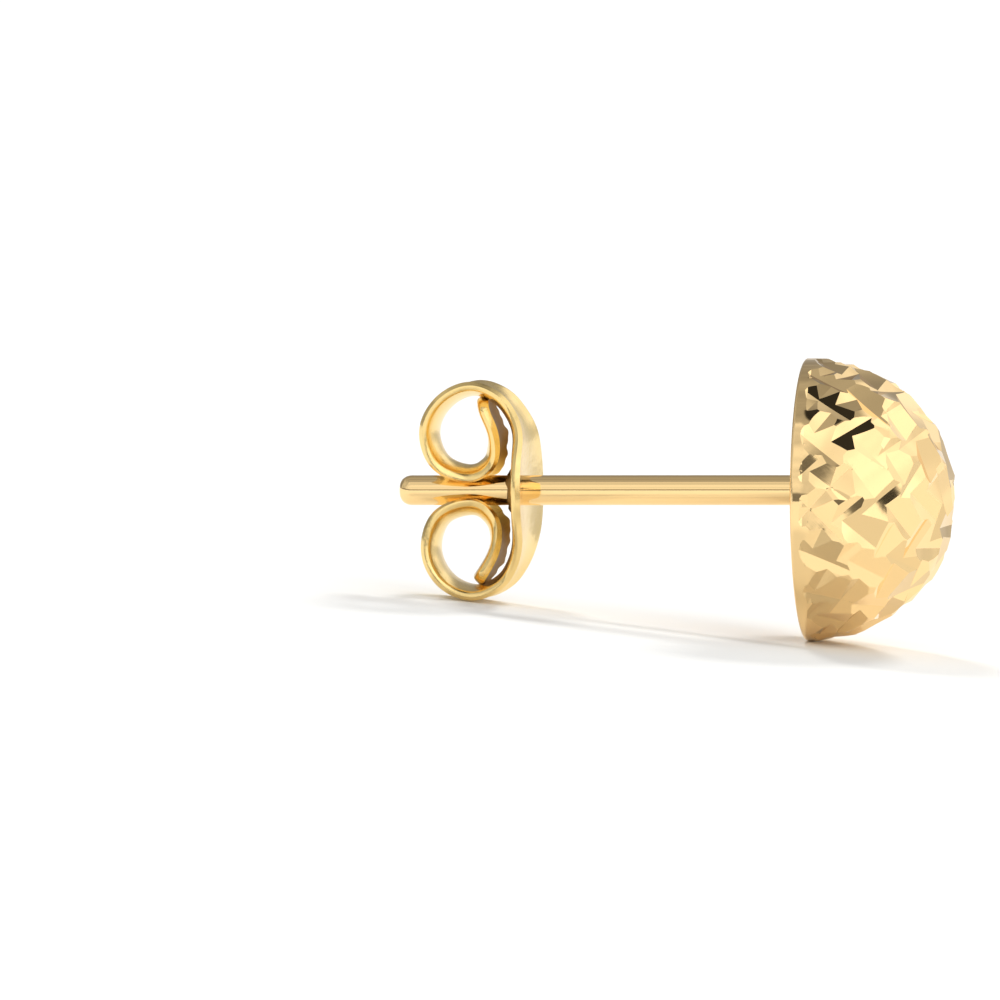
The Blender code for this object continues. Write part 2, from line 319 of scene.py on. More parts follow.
def cut_ball(start, way):
    """The points where the rays stop, which way the surface faces there, and the side that cut it."""
    length = np.full(way.shape[:2], BALL_RADIUS)
    facing = way.copy()
    cut_by = np.full(way.shape[:2], UNCUT)
    for first in range(0, len(normals), 2):
        reach, faces = reach_side(first, start, way)
        other_reach, other_faces = reach_side(first + 1, start, way)
        higher = other_reach > reach
        notch = np.maximum(reach, other_reach)
        lower = notch < length
        length = np.where(lower, notch, length)
        facing = np.where(lower[..., None], np.where(higher[..., None], other_faces, faces), facing)
        cut_by = np.where(lower, first + higher, cut_by)
    return start + length[..., None] * way, facing / np.linalg.norm(facing, axis=-1, keepdims=True), cut_by


surface, facing, cut_by = cut_ball(ray_start, ray_way)
uncut_share = round(float((cut_by == UNCUT).mean()), 2)
print("sides that show:", len(np.unique(cut_by)), "share left uncut:", uncut_share)

# %% [markdown]
# Sharp edges between the facets
#
# A facet pattern needs edges that are truly sharp, which a plain grid of points would blur. So the
# corners of the mesh lie between the rays, and each is moved to the point where the planes round it
# meet, by least squares: on a facet it stays on the plane, between two facets it lands on their
# crease, and between three on their corner.

# %% Sharp edges between the facets
CREASE_PULL = 2e-4
FAR_PULL = 0.01
FARTHEST = 0.5


def around(field):
    """The values of a field at the four grid points round each cell, on a third axis."""
    return np.stack([field[:-1, :-1], field[1:, :-1], field[1:, 1:], field[:-1, 1:]], axis=2)


def creased(surface, facing):
    """Mesh corners, one for each cell between the rays and one more row along each border.

    With the four points p round a cell, their middle c and their normals n, the move m solves
    (sum of n nᵀ + pull) m = sum of n (n · (p - c)). The small pull keeps the move short where the
    planes agree. A move of more than half a cell is solved again with a stronger pull.
    """
    points, planes = around(surface), around(facing)
    middle = points.mean(axis=2)
    apart = np.einsum("abki,abki->abk", planes, points - middle[:, :, None])
    matrix = np.einsum("abki,abkj->abij", planes, planes)
    wanted = np.einsum("abki,abk->abi", planes, apart)[..., None]
    move = np.linalg.solve(matrix + CREASE_PULL * np.eye(3), wanted)[..., 0]
    short_move = np.linalg.solve(matrix + FAR_PULL * np.eye(3), wanted)[..., 0]
    cell = np.linalg.norm(points[:, :, 0] - points[:, :, 2], axis=-1, keepdims=True)
    too_far = np.linalg.norm(move, axis=-1, keepdims=True) > FARTHEST * cell

    count = len(surface)
    corners = np.empty((count + 1, count + 1, 3))
    corners[1:-1, 1:-1] = middle + np.where(too_far, short_move, move)
    for border in (0, -1):
        corners[border, 1:-1] = (surface[border, 1:] + surface[border, :-1]) / 2
        corners[1:-1, border] = (surface[1:, border] + surface[:-1, border]) / 2
        corners[border, [0, -1]] = surface[border, [0, -1]]
    return corners


outside = creased(surface, facing)
print("corners of the cut surface:", outside.shape[0] * outside.shape[1])

# %% [markdown]
# Rim and inside of the ball
#
# The half ball is pressed from sheet, so it is a thin shell with an open back. The edge of the cut
# surface is carried on, ring by ring, round the small corner of the rim, over the flat rim and into
# the smooth hollow, where one last point closes it.

# %% Rim and inside of the ball
LIP_ROUNDING = 0.06
RIM_STEPS = 8
LIP_STEPS = 6
HOLLOW_RINGS = 24
LAST_RING = 2
FADE_RINGS = 12
CUT, WIRE, PRESSED = range(3)


def quarter_round(x, radius, size, start, end, steps):
    """Points (x, radius) on a round corner of a size; the angles run from +X towards the outside."""
    angle = np.radians(np.linspace(start, end, steps + 1))
    return np.stack([x + size * np.cos(angle), radius + size * np.sin(angle)], axis=-1)


inner_radius = BALL_RADIUS - WALL
rim_profile = np.vstack([
    quarter_round(RIM_ROUNDING, BALL_RADIUS - RIM_ROUNDING, RIM_ROUNDING, 90, 180, RIM_STEPS)[1:],
    quarter_round(LIP_ROUNDING, inner_radius + LIP_ROUNDING, LIP_ROUNDING, 180, 270, LIP_STEPS),
    quarter_round(SKIRT_DEPTH, 0.0, inner_radius, 90, LAST_RING, HOLLOW_RINGS),
])


def half_ball():
    """The closed shell of the ball: its cut outside, then rings of points for its rim and hollow.

    A ring's point keeps the angle of the border point that it starts from. Its radius is the
    profile's, less what the cuts have eaten off the border there, and that fades out over a few rings.
    """
    count = len(outside)
    number = np.arange(count * count).reshape(count, count)
    border = np.concatenate([number[0, :-1], number[:-1, -1], number[-1, :0:-1], number[:0:-1, 0]])
    points = outside.reshape(-1, 3)
    x, y, z = points[border].T
    angle = np.arctan2(z, y)
    eaten = BALL_RADIUS - np.hypot(y, z)
    steps = len(rim_profile)
    fade = np.clip(1 - np.arange(1, steps + 1) / FADE_RINGS, 0, 1)
    radius = rim_profile[:, 1:] - fade[:, None] * eaten
    depth = np.repeat(rim_profile[:, :1] - SKIRT_DEPTH, len(border), axis=1)
    rings = np.stack([depth, radius * np.cos(angle), radius * np.sin(angle)], axis=-1).reshape(-1, 3)
    pole = len(points) + len(rings)
    first = len(points) + np.arange(len(border))
    last = pole - len(border) + np.arange(len(border))
    blocks = [
        around(number)[..., ::-1].reshape(-1, 4),
        np.stack([first, np.roll(first, -1), np.roll(border, -1), border], axis=-1),
        grid_faces(steps, len(border), len(points))[:, ::-1],
        np.stack([np.full(len(border), pole), last, np.roll(last, -1)], axis=-1),
    ]
    return np.vstack([points, rings, [(inner_radius, 0.0, 0.0)]]) + ball_middle, blocks


ball_points, ball_blocks = half_ball()
print("faces of the ball:", sum(len(block) for block in ball_blocks))

# %% [markdown]
# The run of the marks on the facets
#
# Each facet keeps the fine lines that its own pass of the wheel left, along its crease. The map
# measures along the crease and across it. Every cut has its own stretch of the second number, far
# enough from the others, so a material can also tell one cut from the next.

# %% The run of the marks on the facets
MARK_SHIFT = 7.3


def facet_marks():
    """For each corner of each cut face: the way along the crease of its side, and the way across it."""
    corners = around(outside)[:, :, ::-1]
    uncut = (cut_by == UNCUT)[..., None]
    run = np.where(uncut, 0.0, creases[cut_by])
    over = np.where(uncut, 0.0, np.cross(normals, creases)[cut_by])
    along = np.einsum("abki,abi->abk", corners, run)
    across = np.einsum("abki,abi->abk", corners, over) + MARK_SHIFT * cut_by[..., None]
    return np.stack([along, across], axis=-1).reshape(-1, 2)


ball_marks = facet_marks()
print("marked corners:", len(ball_marks))

# %% [markdown]
# Post
#
# The post is a straight wire with a rounded tip, soldered to the inside of the ball's top. Solder
# runs into the corner and leaves a small hollow flare there. Both come from one turned profile.

# %% Post
POST_RADIUS = 0.375
TIP_FLAT_RADIUS = 0.125
TIP_ROUNDING = 0.3
TIP_STEPS = 26
FLARE_RADIUS = 0.6
FLARE_LENGTH = 0.3
FLARE_SUNK = 0.13
FLARE_HOLLOW = 1.5
FLARE_STEPS = 24
POST_SEGMENTS = 96
SHARP_FACETS = 4

inner_top = SKIRT_DEPTH + inner_radius
flare_angle = np.radians(np.linspace(0, 90, FLARE_STEPS))
flare = np.stack([
    inner_top - FLARE_LENGTH * np.sin(flare_angle),
    POST_RADIUS + (FLARE_RADIUS - POST_RADIUS) * (1 - np.sin(flare_angle)) ** FLARE_HOLLOW,
], axis=-1)
tip_angle = np.radians(np.linspace(0, 90, TIP_STEPS))
rounded_tip = np.stack([
    TIP_ROUNDING - POST_REACH - TIP_ROUNDING * np.sin(tip_angle),
    TIP_FLAT_RADIUS + (POST_RADIUS - TIP_FLAT_RADIUS) * np.cos(tip_angle),
], axis=-1)
post_profile = np.vstack([[(inner_top + FLARE_SUNK, FLARE_RADIUS)], flare, rounded_tip])
post_points, post_blocks = revolve(post_profile, POST_SEGMENTS)

stud = solid("cut_half_ball_on_post", [
    (ball_points, ball_blocks, (CUT, PRESSED, PRESSED, PRESSED)),
    (post_points, post_blocks, (WIRE, WIRE, WIRE)),
], SHARP_FACETS)
lay_marks(stud, ball_marks)

# %% [markdown]
# The line of the butterfly clutch
#
# The clutch is one strip of sheet. A stamp cuts it out and dishes it a little across, and both ends
# are then curled towards the post, so that the two scrolls grip it. Each scroll is given by its
# radius, and by the strip's width and dish, at a few angles round its centre. The strip is at its
# widest on the plate and narrow where it meets the post.

# %% The line of the butterfly clutch
PLATE_X = -6.98
DISH = 0.2
PLATE_HALF = (
    # height above or below the post, width of the strip there
    (0.0, 4.0),
    (0.45, 3.9),
    (0.8, 3.6),
    (1.08, 3.2),
)
UPPER_CENTRE = (-8.309, 1.517)
UPPER_SCROLL = (
    # angle round the scroll's centre in degrees, radius, width and dish of the strip
    (-8, 1.355, 2.75, 0.2),
    (8, 1.26, 2.3, 0.2),
    (25, 1.175, 1.95, 0.2),
    (50, 1.155, 1.85, 0.2),
    (90, 1.155, 1.8, 0.18),
    (135, 1.12, 1.8, 0.18),
    (180, 1.215, 1.8, 0.18),
    (225, 1.33, 1.6, 0.26),
    (268, 1.305, 1.25, 0.3),
    (302, 1.09, 1.25, 0.26),
    (328, 0.77, 1.4, 0.18),
    (354, 0.61, 1.5, 0.12),
    (384, 0.54, 1.5, 0.12),
    (410, 0.57, 1.5, 0.12),
    (423, 0.72, 1.5, 0.12),
    (430, 0.9, 1.5, 0.12),
)
LOWER_CENTRE = (-8.247, -1.485)
LOWER_SCROLL = (
    (-8, 1.25, 2.7, 0.2),
    (10, 1.165, 2.3, 0.2),
    (30, 1.12, 1.95, 0.2),
    (50, 1.135, 1.85, 0.2),
    (90, 1.175, 1.8, 0.18),
    (135, 1.19, 1.8, 0.18),
    (180, 1.25, 1.8, 0.18),
    (225, 1.375, 1.6, 0.26),
    (270, 1.295, 1.25, 0.3),
    (304, 1.02, 1.25, 0.26),
    (326, 0.76, 1.4, 0.18),
    (345, 0.63, 1.5, 0.12),
    (375, 0.53, 1.5, 0.12),
    (412, 0.555, 1.5, 0.12),
    (432, 0.68, 1.5, 0.12),
    (447, 0.86, 1.5, 0.12),
)


def scroll_line(centre, rows, side):
    """Control points (x, z, width, dish) from the post outwards: half the plate, then one scroll."""
    plate = [(PLATE_X, side * height, width, DISH) for height, width in PLATE_HALF]
    angle, radius, width, dish = np.array(rows).T
    turn = np.radians(angle)
    x, z = centre[0] + radius * np.cos(turn), centre[1] + side * radius * np.sin(turn)
    return np.vstack([plate, np.stack([x, z, width, dish], axis=-1)])


upper = scroll_line(UPPER_CENTRE, UPPER_SCROLL, 1)
lower = scroll_line(LOWER_CENTRE, LOWER_SCROLL, -1)
control_points = np.vstack([upper[:0:-1], lower])
print("control points of the strip:", len(control_points))

# %% [markdown]
# A smooth curve through the points
#
# A Catmull-Rom curve goes through every control point and never has a kink. It is measured, then
# taken again at even steps, so that the faces are all of one size, and evened out a little, as a
# springy strip does by itself.

# %% A smooth curve through the points
STATION_STEP = 0.045
SPAN_STEPS = 24
SMOOTHED_OVER = 0.2


def smooth_line(points, step):
    """The way along the curve, and the points on it, at even steps.

    Between two points p1 and p2 with neighbours p0 and p3, at the share t of the way, the curve is
    (2 p1 + (p2 - p0) t + (2 p0 - 5 p1 + 4 p2 - p3) t² + (3 p1 - p0 - 3 p2 + p3) t³) / 2.
    """
    ends = np.vstack([2 * points[0] - points[1], points, 2 * points[-1] - points[-2]])
    t = np.linspace(0, 1, SPAN_STEPS, endpoint=False)[:, None]
    spans = []
    for before, start, end, after in zip(ends, ends[1:], ends[2:], ends[3:]):
        spans.append(0.5 * (
            2 * start + (end - before) * t
            + (2 * before - 5 * start + 4 * end - after) * t ** 2
            + (3 * start - before - 3 * end + after) * t ** 3
        ))
    dense = np.vstack(spans + [points[-1:]])
    walked = np.concatenate([[0.0], np.cumsum(np.linalg.norm(np.diff(dense[:, :2], axis=0), axis=1))])
    stations = np.linspace(0, walked[-1], round(walked[-1] / step) + 1)
    line = np.stack([np.interp(stations, walked, column) for column in dense.T], axis=-1)
    for _ in range(round(2 * (SMOOTHED_OVER / step) ** 2)):
        line[1:-1] += (line[:-2] + line[2:] - 2 * line[1:-1]) / 4
    return stations, line


walked, strip_line = smooth_line(control_points, STATION_STEP)
strip_length = walked[-1]
print("the strip is", round(strip_length, 2), "mm long")

# %% [markdown]
# The strip's section
#
# The strip was cut from sheet and then tumbled, so its long edges are rounded. The section is drawn
# once, as shares of the strip's width and thickness, because both change along the strip.

# %% The strip's section
STRIP_THICKNESS = 0.23
EDGE_ROUNDING = 0.1
FACE_COLUMNS = 20
EDGE_STEPS = 6


def strip_section():
    """The section as shares: across the half width, past its rounded corner, and through the sheet.

    The other face and edge are the same points with all signs turned round.
    """
    across = np.linspace(-1, 1, FACE_COLUMNS + 1)
    corner = np.radians(np.linspace(0, 90, EDGE_STEPS + 1))[1:]
    upper = np.stack([across, 0 * across, 1 + 0 * across, 0 * across], axis=-1)
    down = np.stack([1 + 0 * corner, np.sin(corner), 1 + 0 * corner, np.cos(corner) - 1], axis=-1)
    half = np.vstack([upper, down])
    return np.vstack([half, -half])


section = strip_section()
print("points of the section:", len(section))

# %% [markdown]
# The strip of the clutch
#
# The section is carried along the line. At both tails the stamp's shears have left their mark: the
# end is a half round, the metal is a little thicker there, and the edge on the far side is ragged.

# %% The strip of the clutch
TAIL_ROUNDING = 0.4
TAIL_END_SHARE = 0.25
TAIL_LENGTH = 2.2
THICKER_TAIL = 1.2
TAIL_WAVES = ((7.0, 0.05), (13.0, 0.045), (23.0, 0.03))
BLUNTEST_NOSE = 0.995


def strip_shape():
    """Points of the strip, one row for each station, and how far through the sheet each one lies.

    A point lies on the strip's line, moved across by its share of the width, through the sheet by
    its share of the thickness, and inwards by dish (1 - (y / half width)²). At the tails the width
    follows a half round and the sheet a nose, both by the square root of 1 - (missing share)².
    """
    along = np.gradient(strip_line[:, :2], axis=0)
    along /= np.linalg.norm(along, axis=1, keepdims=True)
    outward = np.stack([-along[:, 1], along[:, 0]], axis=-1)
    from_end = np.minimum(walked, strip_length - walked)
    in_tail = np.sqrt(np.clip((TAIL_LENGTH - from_end) / TAIL_LENGTH, 0, 1))
    ragged = in_tail * sum(size * np.sin(waves * walked + waves) for waves, size in TAIL_WAVES)
    half_thick = STRIP_THICKNESS / 2 * (1 + (THICKER_TAIL - 1) * in_tail)
    nose = np.sqrt(1 - np.clip(1 - from_end / half_thick, 0, BLUNTEST_NOSE) ** 2)
    missing = np.clip(1 - from_end / TAIL_ROUNDING, 0, 1)
    half_width = strip_line[:, 2] / 2 * np.maximum(TAIL_END_SHARE, np.sqrt(1 - missing ** 2))
    half_width -= half_thick * (1 - nose)

    share, past, level, sunk = section.T
    y = share * (half_width[:, None] - EDGE_ROUNDING) + past * EDGE_ROUNDING
    y += np.clip(share, 0, 1) * ragged[:, None]
    through = (level * half_thick[:, None] + sunk * EDGE_ROUNDING) * nose[:, None]
    shift = through - strip_line[:, 3:] * (1 - (y / half_width[:, None]) ** 2)
    x = strip_line[:, :1] + shift * outward[:, :1]
    z = strip_line[:, 1:2] + shift * outward[:, 1:]
    return np.stack([x, y, z], axis=-1), through


strip_points, through = strip_shape()
rows, columns = through.shape
end_faces = np.arange(rows * columns).reshape(rows, columns)[[0, -1]]
strip_blocks = [grid_faces(rows, columns), end_faces[:1, ::-1], end_faces[1:]]
print("the plate is", round(float(np.ptp(strip_points[..., 1])), 2), "mm wide")

# %% [markdown]
# The run of the marks on the strip
#
# Rolling marks run along the strip, so the map follows it: the way along the strip's line, and the
# way round its section, measured on the plate.

# %% The run of the marks on the strip
def strip_marks():
    """For each corner of each face of the strip: the way along the strip, and the way round it."""
    outline = np.stack([strip_points[rows // 2, :, 1], through[rows // 2]], axis=-1)
    steps = np.linalg.norm(np.roll(outline, -1, axis=0) - outline, axis=1)
    across = np.concatenate([[0.0], np.cumsum(steps)])
    run = np.stack([walked[:-1], walked[:-1], walked[1:], walked[1:]], axis=-1)[:, None, :]
    over = np.stack([across[:-1], across[1:], across[1:], across[:-1]], axis=-1)[None, :, :]
    return np.stack(np.broadcast_arrays(run, over), axis=-1).reshape(-1, 2), across[-1]


marks, round_section = strip_marks()
print("the way round the plate's section is", round(round_section, 2), "mm")

# %% [markdown]
# Hole and burr
#
# A punch goes through the plate from the front. It draws the edge of the hole in and leaves a
# ragged collar behind, which grips the post. Both tools are turned profiles: a collar whose end is
# made uneven by a few waves, and a punch as wide as the post with a small gap.

# %% Hole and burr
FIT_GAP = 0.05
BURR_RADIUS = 0.56
BURR_LENGTH = 0.14
BURR_PROFILE = (
    # share of the collar's length, how much narrower it is there
    (0.3, 0.0),
    (0.75, 0.01),
    (1.0, 0.05),
)
BURR_WAVES = ((3, 0.018), (5, 0.014), (8, 0.011), (13, 0.008))
BURR_SEGMENTS = 120
MOUTH_ROUNDING = 0.07
MOUTH_STEPS = 9
PUNCH_SEGMENTS = 128

plate_middle = PLATE_X - DISH
plate_back = plate_middle - STRIP_THICKNESS / 2
plate_front = plate_middle + STRIP_THICKNESS / 2


def burr():
    """The collar behind the plate; sines of the angle round the hole move its end to and fro."""
    share, narrower = np.array(BURR_PROFILE).T
    collar = np.stack([plate_back - share * BURR_LENGTH, BURR_RADIUS - narrower], axis=-1)
    points, blocks = revolve(np.vstack([[(plate_middle, BURR_RADIUS)], collar]), BURR_SEGMENTS)
    turn = np.arctan2(points[:, 2], points[:, 1])
    ragged = sum(size * np.sin(waves * turn + waves) for waves, size in BURR_WAVES)
    behind = np.clip((plate_back - points[:, 0]) / BURR_LENGTH, 0, 1)
    points[:, 0] += behind * ragged
    return points, blocks


def punch():
    """The hole's tool, with a mouth that flares by a quarter round at the plate's front."""
    radius = POST_RADIUS + FIT_GAP
    angle = np.radians(np.linspace(90, 0, MOUTH_STEPS))
    mouth = np.stack([
        plate_front - MOUTH_ROUNDING * (1 - np.sin(angle)),
        radius + MOUTH_ROUNDING * (1 - np.cos(angle)),
    ], axis=-1)
    front = (plate_front + DISH, radius + MOUTH_ROUNDING)
    back = (plate_back - 2 * BURR_LENGTH, radius)
    return revolve(np.vstack([[front], mouth, [back]]), PUNCH_SEGMENTS)


print("the hole is", 2 * (POST_RADIUS + FIT_GAP), "mm wide")

# %% [markdown]
# Stamp the clutch
#
# The collar is joined to the strip, and then the punch takes the hole out of both, with Blender's
# exact Boolean, as real tools would do it. The Boolean's result is kept as a mesh, because nothing
# has to change in it later.

# %% Stamp the clutch
SHARP_SHEET = 40


def boolean(obj, operation, tool):
    """Join or cut a mesh object with a tool by an exact Boolean, and keep the result as its mesh."""
    modifier = obj.modifiers.new(operation.lower(), "BOOLEAN")
    modifier.operation = operation
    modifier.solver = "EXACT"
    modifier.object = tool
    depsgraph = bpy.context.evaluated_depsgraph_get()
    finished = bpy.data.meshes.new_from_object(obj.evaluated_get(depsgraph))
    obj.modifiers.clear()
    obj.data = finished
    bpy.data.objects.remove(tool, do_unlink=True)


clutch = solid("pierced_butterfly", [(strip_points.reshape(-1, 3), strip_blocks, (0, 0, 0))], SHARP_SHEET)
lay_marks(clutch, marks)
boolean(clutch, "UNION", solid("collar", [(*burr(), (0, 0, 0))], SHARP_SHEET))
boolean(clutch, "DIFFERENCE", solid("punch", [(*punch(), (0, 0, 0))], SHARP_SHEET))
clutch.data.name = "pierced_butterfly"
clutch.data.shade_smooth()
clutch.data.set_sharp_from_angle(angle=math.radians(SHARP_SHEET))
print("faces of the clutch:", len(clutch.data.polygons))

# %% [markdown]
# Colours and nodes
#
# A colour is written as it looks on a screen, in hex, and one function turns it into the linear
# light that the renderer needs. Another adds a node with its settings and links, so a material reads
# as a list of what goes into what.

# %% Colours and nodes
def linear(code):
    """The linear colour of an sRGB hex code."""
    values = [int(code[place:place + 2], 16) / 255 for place in (1, 3, 5)]
    return tuple(v / 12.92 if v <= 0.04045 else ((v + 0.055) / 1.055) ** 2.4 for v in values) + (1.0,)


def add_node(tree, kind, settings=(), values=(), links=()):
    """Add a node; settings are its own properties, values go to its sockets and links come from others."""
    node = tree.nodes.new(kind)
    for name, value in dict(settings).items():
        setattr(node, name, value)
    for name, value in dict(values).items():
        node.inputs[name].default_value = value
    for name, source in dict(links).items():
        tree.links.new(source, node.inputs[name])
    return node


SMOOTH = {"interpolation_type": "SMOOTHSTEP"}
print("middle grey is", round(linear("#808080")[0], 3), "in linear light")

# %% [markdown]
# Gold
#
# All of it is one 14 carat yellow gold, and only the finish differs. A metal has no colour but the
# colour of its mirror image, so the base colour is what the gold gives back of white light. No gold
# this small is perfectly flat: the surface ripples by a thousandth of a millimetre, and the ripple
# bends the mirrored lights.

# %% Gold
RIPPLE_DETAIL = 1.5


def gold(name, colour, roughness, ripple, ripple_size):
    """Gold whose surface ripples by a height in mm over patches of a size in mm."""
    material = bpy.data.materials.new(name)
    material.use_nodes = True
    tree = material.node_tree
    shader = tree.nodes["Principled BSDF"]
    shader.inputs["Base Color"].default_value = linear(colour)
    shader.inputs["Metallic"].default_value = 1.0
    shader.inputs["Roughness"].default_value = roughness
    place = add_node(tree, "ShaderNodeTexCoord")
    noise = add_node(tree, "ShaderNodeTexNoise", (),
                     {"Scale": 1 / (ripple_size * MM), "Detail": RIPPLE_DETAIL},
                     {"Vector": place.outputs["Object"]})
    bump = add_node(tree, "ShaderNodeBump", (), {"Distance": ripple * MM}, {"Height": noise.outputs["Fac"]})
    tree.links.new(bump.outputs["Normal"], shader.inputs["Normal"])
    print(name, "ripples by", ripple, "mm over", ripple_size, "mm")
    return material


# Drawn wire, polished on a soft wheel: a clean mirror that only a breath of roughness softens.
polished_gold = gold("polished_gold_wire", "#ffdc9e", 0.07, 0.0006, 0.4)

# The inside and the rim of the ball, as the press left them: a satin sheen without clear images.
pressed_gold = gold("pressed_gold_sheet", "#ffdca0", 0.2, 0.003, 0.12)

# %% [markdown]
# Tool marks
#
# Under a lens the cut facets and the rolled sheet show fine lines. They are a noise stretched along
# the UV map, laid over the ripple as a second bump. The real lines are a few thousandths of a
# millimetre apart, too fine for the render, so they are drawn as coarse as they need to be to show.

# %% Tool marks
MARK_DETAIL = 2.0


def mark(material, length, width, height):
    """Add fine marks along the UV map's first axis: their length, width and height in mm."""
    tree = material.node_tree
    shader = tree.nodes["Principled BSDF"]
    run = add_node(tree, "ShaderNodeUVMap", {"uv_map": "marks"})
    stretched = add_node(tree, "ShaderNodeMapping", (), {"Scale": (1 / length, 1 / width, 1.0)},
                         {"Vector": run.outputs["UV"]})
    noise = add_node(tree, "ShaderNodeTexNoise", (), {"Scale": 1.0, "Detail": MARK_DETAIL},
                     {"Vector": stretched.outputs["Vector"]})
    bump = add_node(tree, "ShaderNodeBump", (), {"Distance": height * MM}, {
        "Height": noise.outputs["Fac"],
        "Normal": shader.inputs["Normal"].links[0].from_socket,
    })
    tree.links.new(bump.outputs["Normal"], shader.inputs["Normal"])
    print(material.name, "has marks", length, "mm long and", width, "mm wide")


# %% [markdown]
# Diamond-cut gold
#
# A diamond leaves the brightest finish there is, nearly a perfect mirror, so a facet is as bright or
# as dark as the part of the room that it faces. Each cut's colour is also scaled by a number of its
# own, darker or brighter: a painted reflection of differently lit parts of the room.

# %% Diamond-cut gold
# Painted reflection: a seed, and the range by which each cut's colour is scaled darker or brighter.
PAINTED_REFLECTION_SEED = 387
DARKEST_PAINTED_REFLECTION = 0.8
BRIGHTEST_PAINTED_REFLECTION = 1.07
BRIGHT_REFLECTION_SHARE = 0.3

cut_gold = gold("diamond_cut_gold", "#f7d59a", 0.05, 0.001, 0.3)
mark(cut_gold, 0.5, 0.03, 0.00012)


def paint_cut_reflections(material):
    """Scale the colour of each cut by a number of its own, as a painted reflection; the UV map tells one cut
    from another.
    """
    tree = material.node_tree
    shader = tree.nodes["Principled BSDF"]
    run = add_node(tree, "ShaderNodeUVMap", {"uv_map": "marks"})
    split = add_node(tree, "ShaderNodeSeparateXYZ", (), (), {"Vector": run.outputs["UV"]})
    share = add_node(tree, "ShaderNodeMath", {"operation": "MULTIPLY_ADD"},
                     {1: 1 / MARK_SHIFT, 2: PAINTED_REFLECTION_SEED}, {0: split.outputs["Y"]})
    number = add_node(tree, "ShaderNodeMath", {"operation": "ROUND"}, (), {0: share.outputs[0]})
    chance = add_node(tree, "ShaderNodeTexWhiteNoise", {"noise_dimensions": "1D"}, (),
                      {"W": number.outputs[0]})
    shade = add_node(tree, "ShaderNodeMapRange", SMOOTH,
                     {"From Max": 1 - BRIGHT_REFLECTION_SHARE, "To Min": DARKEST_PAINTED_REFLECTION, "To Max": BRIGHTEST_PAINTED_REFLECTION},
                     {"Value": chance.outputs["Value"]})
    colour = add_node(tree, "ShaderNodeVectorMath", {"operation": "SCALE"},
                      {0: shader.inputs["Base Color"].default_value[:3]}, {"Scale": shade.outputs["Result"]})
    tree.links.new(colour.outputs["Vector"], shader.inputs["Base Color"])


paint_cut_reflections(cut_gold)
print("nodes in the cut gold:", len(cut_gold.node_tree.nodes))

# %% [markdown]
# Stamped gold
#
# The clutch was stamped from rolled sheet and tumbled, so it shines softly and its mirror images are
# streaked along the strip. The outside of both tails and the burr behind the hole are drawn rougher,
# and dark brown with painted shade, which stands for the clutch's dark inside that they mirror.

# %% Stamped gold
PAINTED_SHADE_GOLD = "#94703c"
DULL_ROUGHNESS = 0.45
DULL_AND_SHADED_STARTS = 2.2
DULL_AND_SHADED_FULL = 1.5
OUTSIDE_ENDS = 3.95
OUTSIDE_FULL = 3.8

stamped_gold = gold("stamped_gold_sheet", "#f9da94", 0.22, 0.008, 0.26)
mark(stamped_gold, 1.2, 0.05, 0.0015)


def dull_and_shade_tails(material, length):
    """Darken with painted shade and roughen a strip of a length where the UV map says so.

    The mask is 1 less than DULL_AND_SHADED_FULL mm from either end, or 0 past DULL_AND_SHADED_STARTS, times 1
    on the outside face, which is the section's first OUTSIDE_FULL mm, or 0 past OUTSIDE_ENDS. Faces that
    the UV map leaves at 0, such as the burr's, count as a tail's end.
    """
    tree = material.node_tree
    shader = tree.nodes["Principled BSDF"]
    run = add_node(tree, "ShaderNodeUVMap", {"uv_map": "marks"})
    split = add_node(tree, "ShaderNodeSeparateXYZ", (), (), {"Vector": run.outputs["UV"]})
    middle = add_node(tree, "ShaderNodeMath", {"operation": "SUBTRACT"},
                      {1: length / 2}, {0: split.outputs["X"]})
    away = add_node(tree, "ShaderNodeMath", {"operation": "ABSOLUTE"}, (), {0: middle.outputs[0]})
    tail = add_node(tree, "ShaderNodeMapRange", SMOOTH,
                    {"From Min": length / 2 - DULL_AND_SHADED_STARTS, "From Max": length / 2 - DULL_AND_SHADED_FULL},
                    {"Value": away.outputs[0]})
    outer = add_node(tree, "ShaderNodeMapRange", SMOOTH, {"From Min": OUTSIDE_ENDS, "From Max": OUTSIDE_FULL},
                     {"Value": split.outputs["Y"]})
    both = add_node(tree, "ShaderNodeMath", {"operation": "MULTIPLY"}, (),
                    {0: tail.outputs["Result"], 1: outer.outputs["Result"]})
    # Painted shade: where the mask is 1, the gold turns dark brown.
    colour = add_node(tree, "ShaderNodeMix", {"data_type": "RGBA"},
                      {6: shader.inputs["Base Color"].default_value, 7: linear(PAINTED_SHADE_GOLD)},
                      {0: both.outputs[0]})
    rough = add_node(tree, "ShaderNodeMapRange", (),
                     {"To Min": shader.inputs["Roughness"].default_value, "To Max": DULL_ROUGHNESS},
                     {"Value": both.outputs[0]})
    tree.links.new(colour.outputs[2], shader.inputs["Base Color"])
    tree.links.new(rough.outputs["Result"], shader.inputs["Roughness"])


dull_and_shade_tails(stamped_gold, strip_length)
print("nodes in the stamped gold:", len(stamped_gold.node_tree.nodes))

# %% [markdown]
# Dress the solids
#
# The two finished pieces stand for the two solids that the physics uses. The stud and the clutch are
# different bodies, because the clutch slides on the post.

# %% Dress the solids
for material in (cut_gold, polished_gold, pressed_gold):
    stud.data.materials.append(material)
clutch.data.materials.clear()
clutch.data.materials.append(stamped_gold)

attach(stud, "stud")
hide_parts("half_ball_post")
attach(clutch, "clutch")
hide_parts("butterfly_clutch")
print("materials on the stud:", [material.name for material in stud.data.materials])

